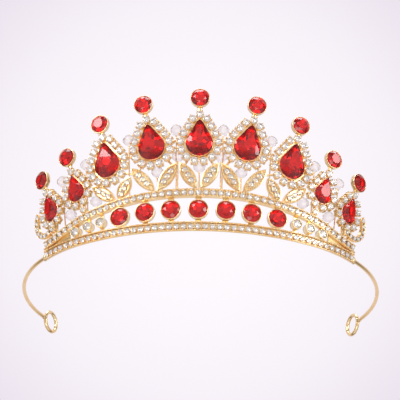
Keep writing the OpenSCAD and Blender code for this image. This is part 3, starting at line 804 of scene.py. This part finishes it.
# ---------------------------------------------------------------- beads behind
sprigs = [(0, 29.5)] + [(side * a, h) for side in (-1, 1) for a, h in BEAD_TOP + BEAD_LOW]
wires, beads = Shape(), Shape()
n = 10
STEM_RADIUS = 0.26
profile = [(0.28, -2.45), (0.36, -2.5), (1.55, -1.75), (2.45, -0.62), (2.45, 0.62), (1.55, 1.75),
           (0.36, 2.5), (0.28, 2.45)]
rings = [[(r * math.cos(2 * math.pi * (k + 0.5 * (j % 2)) / n), z,
           r * math.sin(2 * math.pi * (k + 0.5 * (j % 2)) / n)) for k in range(n)]
         for j, (r, z) in enumerate(profile)]
facets = loft(rings)
for a, h in sprigs:
    foot = face_point(a, upper_at(a), -RAIL_T / 2 - 0.05)
    elbow = face_point(a, upper_at(a) + 1.5, BEAD_BACK)
    top = face_point(a, h - BEAD_R, BEAD_BACK)
    path = [foot + (elbow - foot) * t for t in (0, 0.5, 0.85)]
    path += [elbow + (top - elbow) * t for t in (0.04, 0.3, 0.6, 1)]
    wires.add(tube(path, STEM_RADIUS, 8))
    # the wire shows as a tiny knot on each side of the bead
    bead(wires, top - np.array([0, 0, 0.15]), 0.45)
    bead(wires, face_point(a, h + BEAD_R - 0.15, BEAD_BACK), 0.4)
    beads.add(facets, 0, False, frame_at(a, h, BEAD_BACK))
wires.make("bead_stems", [WIRE], "rear_bead_wires", "gold_plate")
beads.make("crystal_beads", [CRYSTAL], "rear_beads", "clear_glass")

# ---------------------------------------------------------------- floor, world, light
floor_mesh = bpy.data.meshes.new("floor")
HALF_FLOOR, FLOOR_Z = 2, -0.0003    # metres, just under the crown
floor_mesh.from_pydata([(x * HALF_FLOOR, y * HALF_FLOOR, FLOOR_Z) for x, y in
                        ((-1, -1), (1, -1), (1, 1), (-1, 1))], [], [(0, 1, 2, 3)])
floor = bpy.data.objects.new("floor", floor_mesh)
bpy.context.scene.collection.objects.link(floor)
fm, n, l, b = new_material("pale_floor")
b.inputs["Base Color"].default_value = (0.86, 0.83, 0.87, 1)
b.inputs["Roughness"].default_value = 0.7
geo = n.new("ShaderNodeNewGeometry")
clear = n.new("ShaderNodeBsdfTransparent")
mix = n.new("ShaderNodeMixShader")
l.new(geo.outputs["Backfacing"], mix.inputs["Fac"])
l.new(b.outputs["BSDF"], mix.inputs[1])
l.new(clear.outputs["BSDF"], mix.inputs[2])
l.new(mix.outputs["Shader"], n["Material Output"].inputs["Surface"])
floor_mesh.materials.append(fm)
# a one-sided floor: it is seen and takes shadows, but keeps no light from the crown
floor.visible_glossy = False
floor.visible_diffuse = False
floor.visible_transmission = False
floor.visible_shadow = False

# ---------------------------------------------------------------- camera
# It looks up from below the front of the crown. Lengths are in mm.
TILT, YAW, ROLL, DISTANCE, LENS, SENSOR = 30.0, 1.4, 1.2, 600.0, 138.24, 36.0
MOVE_RIGHT, MOVE_UP = 0.78125, 10.7421875
turn = np.array([[cos(YAW), -sin(YAW), 0], [sin(YAW), cos(YAW), 0], [0, 0, 1]])
forward = turn @ np.array([0, cos(TILT), sin(TILT)])
level, rise = turn @ np.array([1.0, 0, 0]), turn @ np.array([0, -sin(TILT), cos(TILT)])
right = level * cos(ROLL) + rise * sin(ROLL)
up = rise * cos(ROLL) - level * sin(ROLL)
target = np.array([0, -MIDDLE_DEPTH, LOWER_H / 2])
eye = target - DISTANCE * forward + MOVE_RIGHT * right + MOVE_UP * up
cam_data = bpy.data.cameras.new("camera")
cam_data.sensor_width = SENSOR
cam_data.lens = LENS
cam_data.clip_start = 0.01
camera = bpy.data.objects.new("camera", cam_data)
bpy.context.scene.collection.objects.link(camera)
m = Matrix([[right[i], up[i], -forward[i], eye[i] * MM] for i in range(3)] + [[0, 0, 0, 1]])
camera.matrix_world = m
bpy.context.scene.camera = camera
bpy.context.scene.view_settings.view_transform = "Standard"

# world: a pale backdrop behind, a darker room in front, so that metal has contrast
world = bpy.data.worlds.new("studio")
bpy.context.scene.world = world
world.use_nodes = True
n, l = world.node_tree.nodes, world.node_tree.links
bg = n["Background"]
co = n.new("ShaderNodeTexCoord")
dot = n.new("ShaderNodeVectorMath")
dot.operation = "DOT_PRODUCT"
dot.inputs[1].default_value = tuple(forward)
l.new(co.outputs["Generated"], dot.inputs[0])
ramp = n.new("ShaderNodeValToRGB")
stops = ramp.color_ramp.elements
# from the room behind the camera (0) to the middle of the backdrop (1)
stops[0].position, stops[0].color = 0.0, (0.45, 0.43, 0.43, 1)
stops[1].position, stops[1].color = 1.0, (1.0, 0.965, 1.0, 1)
for pos, col in ((0.14, (0.8, 0.78, 0.78, 1)), (0.34, (0.85, 0.83, 0.82, 1)),
                 (0.48, (0.32, 0.29, 0.27, 1)), (0.6, (0.17, 0.15, 0.14, 1)),
                 (0.75, (0.8, 0.75, 0.75, 1)),
                 (0.9915, (0.83, 0.765, 0.85, 1)), (0.9965, (0.945, 0.895, 0.955, 1))):
    stops.new(pos).color = col
along = n.new("ShaderNodeMapRange")
along.inputs["From Min"].default_value = -1
along.inputs["From Max"].default_value = 1
l.new(dot.outputs["Value"], along.inputs["Value"])
l.new(along.outputs["Result"], ramp.inputs["Fac"])
l.new(ramp.outputs["Color"], bg.inputs["Color"])
bg.inputs["Strength"].default_value = 1.0


AIM = (0, -0.02, 0.03)


def softbox(name, at, size, power, colour=(1, 1, 1)):
    """A rectangular lamp that points at the crown. Lengths are in metres."""
    data = bpy.data.lights.new(name, "AREA")
    data.shape = "RECTANGLE"
    data.size, data.size_y = size
    data.energy = power
    data.color = colour
    o = bpy.data.objects.new(name, data)
    bpy.context.scene.collection.objects.link(o)
    o.location = at
    o.rotation_euler = (Vector(AIM) - Vector(at)).to_track_quat("-Z", "Y").to_euler()


softbox("key", (-0.7, -0.6, 0.5), (0.45, 0.45), 5)
softbox("fill", (0.8, -0.5, 0.2), (0.35, 0.5), 3)
softbox("top", (0.0, -0.05, 0.9), (0.7, 0.4), 3.5)
softbox("low", (0.0, -0.6, -0.55), (0.9, 0.2), 1.5, colour=(1, 0.98, 0.96))
